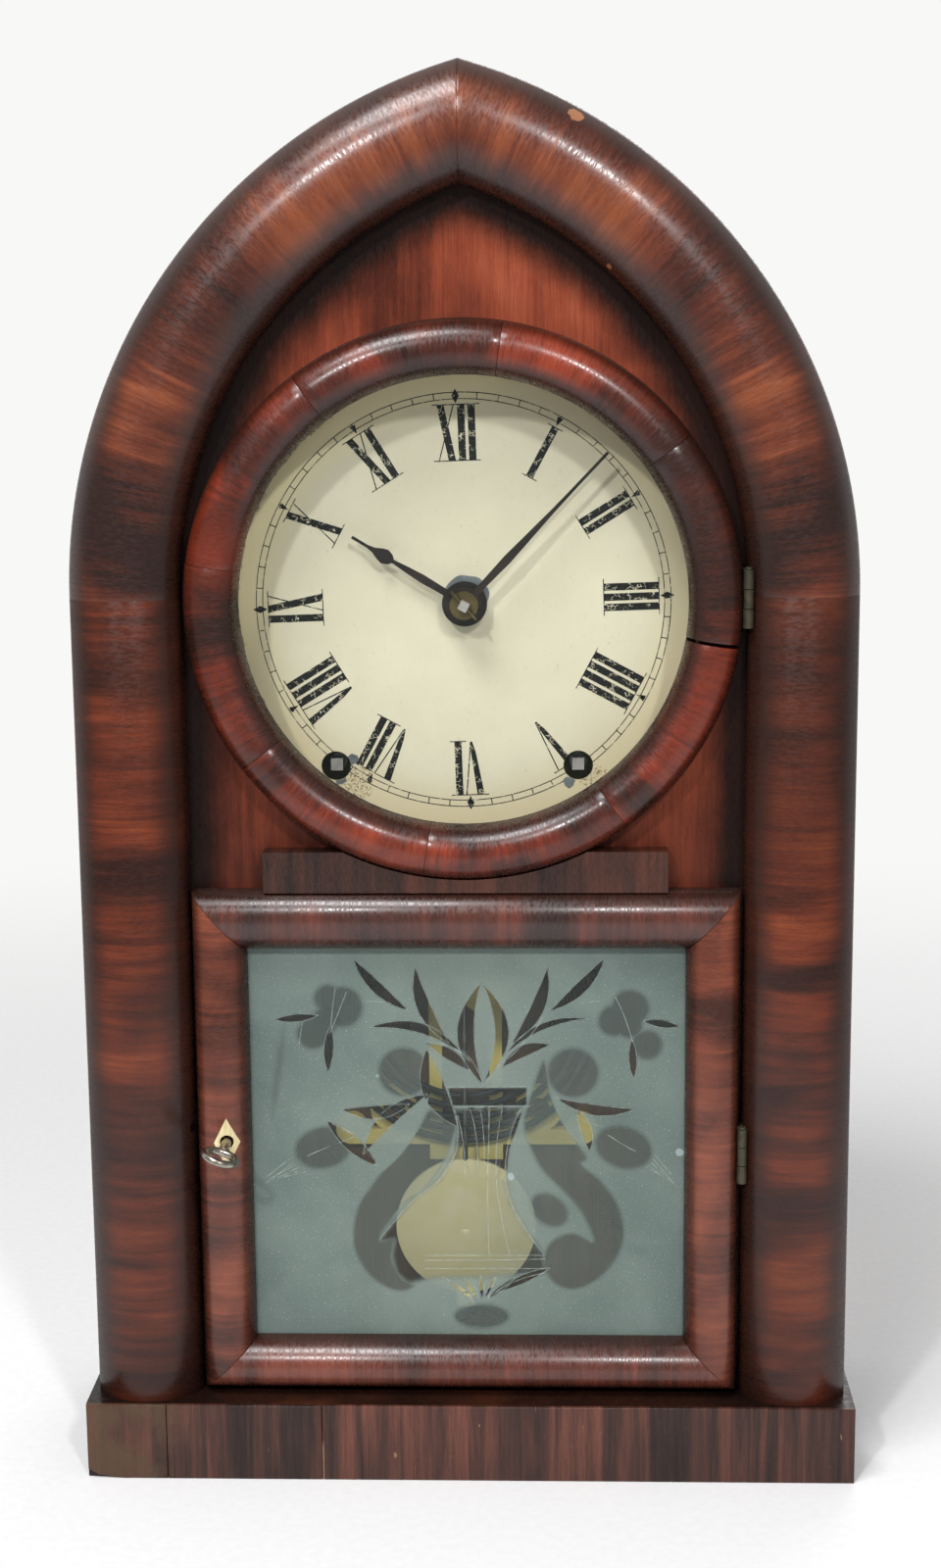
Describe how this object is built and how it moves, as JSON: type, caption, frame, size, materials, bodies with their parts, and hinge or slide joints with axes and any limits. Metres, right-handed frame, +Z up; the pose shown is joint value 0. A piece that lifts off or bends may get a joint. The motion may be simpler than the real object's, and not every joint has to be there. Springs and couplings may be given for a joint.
{
  "type": "shelf clock",
  "caption": "Pointed shelf clock with a half-round arch moulding, a hinged door over dial and etched tablet, and a spring movement with pendulum, gong and turning hands.",
  "frame": {"origin": "centre of the base's underside", "axes": "+Z up, front of the clock towards -Y, +X to the viewer's right"},
  "size_m": [0.2694, 0.1218, 0.483],
  "materials": {
    "mahogany": "old gloss shellac over cross-banded veneer",
    "panel_veneer": "old gloss shellac over vertical veneer",
    "carcase": "stained softwood",
    "pine": "bare softwood",
    "dial_paint": "old cream paint on zinc",
    "glass": "clear",
    "etched_glass": "frosted with a clear cut pattern",
    "brass": "aged",
    "gilt": "gilt casting",
    "steel": "grey",
    "blackened": "blackened iron",
    "bone": "bone inlay",
    "putty": "putty"
  },
  "bodies": {
    "case": {"base_board": "carcase", "base_front_veneer": "panel_veneer", "case_side_left": "mahogany", "case_side_right": "mahogany", "column_left": "mahogany", "column_right": "mahogany", "arch_moulding_left": "mahogany", "arch_moulding_right": "mahogany", "front_panel": "panel_veneer", "front_frame": "carcase", "back_board": "pine", "wood_screws": "steel", "movement_rails": "pine", "dial_plate": "dial_paint", "dial_blocks": "pine", "dial_tacks": "steel", "front_plate": "brass", "back_plate": "brass", "plate_pillars": "steel", "suspension_cock": "brass", "gong_stand": "gilt", "gong_coil": "steel", "mainsprings": "brass", "hinge_case_leaves": "brass"},
    "door": {"door_ring": "mahogany", "door_neck_block": "panel_veneer", "door_rail_top": "mahogany", "door_rail_bottom": "mahogany", "door_stile_left": "mahogany", "door_stile_right": "mahogany", "dial_glass": "glass", "tablet_glass": "etched_glass", "glazing_beads": "putty", "hinge_door_leaves": "brass", "escutcheon": "bone", "lock_case": "brass"},
    "key": {"door_key": "steel"},
    "bolt": {"lock_bolt": "brass"},
    "minute": {"minute_arbor": "steel", "minute_hand": "blackened", "hand_collet": "brass"},
    "hour": {"hour_wheel": "brass", "hour_hand": "blackened"},
    "minute_wheel_body": {"minute_wheel": "brass"},
    "time_winding": {"time_winding_arbor": "steel"},
    "strike_winding": {"strike_winding_arbor": "steel"},
    "time_great": {"time_great_wheel": "brass"},
    "time_second": {"time_second_wheel": "brass"},
    "time_centre": {"centre_wheel": "brass"},
    "time_third": {"third_wheel": "brass"},
    "time_escape": {"escape_wheel": "brass"},
    "verge_body": {"verge": "steel"},
    "pendulum": {"pendulum_rod": "steel", "pendulum_bob": "brass"},
    "strike_great": {"strike_great_wheel": "brass"},
    "strike_pin": {"strike_pin_wheel": "brass"},
    "strike_third": {"strike_third_wheel": "brass"},
    "strike_fly": {"fly": "brass"},
    "lever": {"count_lever": "steel"},
    "hammer_body": {"hammer": "steel"}
  },
  "joints": [
    {"name": "door_hinge", "type": "hinge", "parent": "case", "child": "door", "pos_m": [0.095, -0.042, 0.212], "axis": [0, 0, 1], "range_deg": [0, 110]},
    {"name": "key_turn", "type": "hinge", "parent": "door", "child": "key", "pos_m": [-0.0831, -0.04, 0.122], "axis": [0, 1, 0], "range_deg": [0, 180]},
    {"name": "bolt_slide", "type": "slide", "parent": "door", "child": "bolt", "axis": [-1, 0, 0], "range_m": [0, 0.005]},
    {"name": "minute_hand_turn", "type": "hinge", "parent": "case", "child": "minute", "pos_m": [0, -0.02, 0.3055], "axis": [0, 1, 0], "continuous": true},
    {"name": "hour_hand_turn", "type": "hinge", "parent": "case", "child": "hour", "pos_m": [0, -0.014, 0.3055], "axis": [0, 1, 0], "continuous": true},
    {"name": "minute_wheel_turn", "type": "hinge", "parent": "case", "child": "minute_wheel_body", "pos_m": [0.00926, -0.006, 0.29447], "axis": [0, 1, 0], "continuous": true},
    {"name": "time_winding_turn", "type": "hinge", "parent": "case", "child": "time_winding", "pos_m": [0.0389, 0, 0.2485], "axis": [0, 1, 0], "continuous": true},
    {"name": "strike_winding_turn", "type": "hinge", "parent": "case", "child": "strike_winding", "pos_m": [-0.0456, 0, 0.2485], "axis": [0, 1, 0], "continuous": true},
    {"name": "time_third_turn", "type": "hinge", "parent": "case", "child": "time_third", "pos_m": [0.0142, 0.01, 0.32577], "axis": [0, 1, 0], "continuous": true},
    {"name": "time_escape_turn", "type": "hinge", "parent": "case", "child": "time_escape", "pos_m": [-0.0034, 0.01, 0.33675], "axis": [0, 1, 0], "continuous": true},
    {"name": "time_centre_turn", "type": "hinge", "parent": "case", "child": "time_centre", "pos_m": [0, 0.01, 0.3055], "axis": [0, 1, 0], "continuous": true},
    {"name": "time_second_turn", "type": "hinge", "parent": "case", "child": "time_second", "pos_m": [0.02544, 0.01, 0.28331], "axis": [0, 1, 0], "continuous": true},
    {"name": "time_great_turn", "type": "hinge", "parent": "case", "child": "time_great", "pos_m": [0.0389, 0.013, 0.2485], "axis": [0, 1, 0], "continuous": true},
    {"name": "strike_third_turn", "type": "hinge", "parent": "case", "child": "strike_third", "pos_m": [-0.02995, 0.01, 0.30903], "axis": [0, 1, 0], "continuous": true},
    {"name": "strike_fly_turn", "type": "hinge", "parent": "case", "child": "strike_fly", "pos_m": [-0.03192, 0.01, 0.32782], "axis": [0, 1, 0], "continuous": true},
    {"name": "strike_pin_turn", "type": "hinge", "parent": "case", "child": "strike_pin", "pos_m": [-0.03626, 0.01, 0.28463], "axis": [0, 1, 0], "continuous": true},
    {"name": "strike_great_turn", "type": "hinge", "parent": "case", "child": "strike_great", "pos_m": [-0.0456, 0.013, 0.2485], "axis": [0, 1, 0], "continuous": true},
    {"name": "pendulum_swing", "type": "hinge", "parent": "case", "child": "pendulum", "pos_m": [-0.0034, 0.029, 0.3592], "axis": [0, 1, 0], "range_deg": [-4, 4]},
    {"name": "verge_swing", "type": "hinge", "parent": "case", "child": "verge_body", "pos_m": [-0.0034, 0.01, 0.3592], "axis": [0, 1, 0], "range_deg": [-4, 4]},
    {"name": "count_lever_lift", "type": "hinge", "parent": "case", "child": "lever", "pos_m": [-0.0104, 0.01, 0.262], "axis": [0, 1, 0], "range_deg": [0, 10]},
    {"name": "hammer_lift", "type": "hinge", "parent": "case", "child": "hammer_body", "pos_m": [-0.0034, 0.01, 0.24], "axis": [0, 1, 0], "range_deg": [0, 12]}
  ],
  "couplings": [
    {"joint": "key_turn", "follows": "bolt_slide", "rad_per_m": 628.32},
    {"joint": "hour_hand_turn", "follows": "minute_hand_turn", "ratio": 0.083333},
    {"joint": "minute_wheel_turn", "follows": "minute_hand_turn", "ratio": -0.33333},
    {"joint": "time_escape_turn", "follows": "time_third_turn", "ratio": -9.1667},
    {"joint": "time_centre_turn", "follows": "time_third_turn", "ratio": -0.1},
    {"joint": "time_second_turn", "follows": "time_third_turn", "ratio": 0.025},
    {"joint": "time_great_turn", "follows": "time_third_turn", "ratio": -0.0041667},
    {"joint": "strike_fly_turn", "follows": "strike_third_turn", "ratio": -8},
    {"joint": "strike_pin_turn", "follows": "strike_third_turn", "ratio": -0.16667},
    {"joint": "strike_great_turn", "follows": "strike_third_turn", "ratio": 0.027778},
    {"joint": "verge_swing", "follows": "pendulum_swing", "ratio": 1}
  ]
}
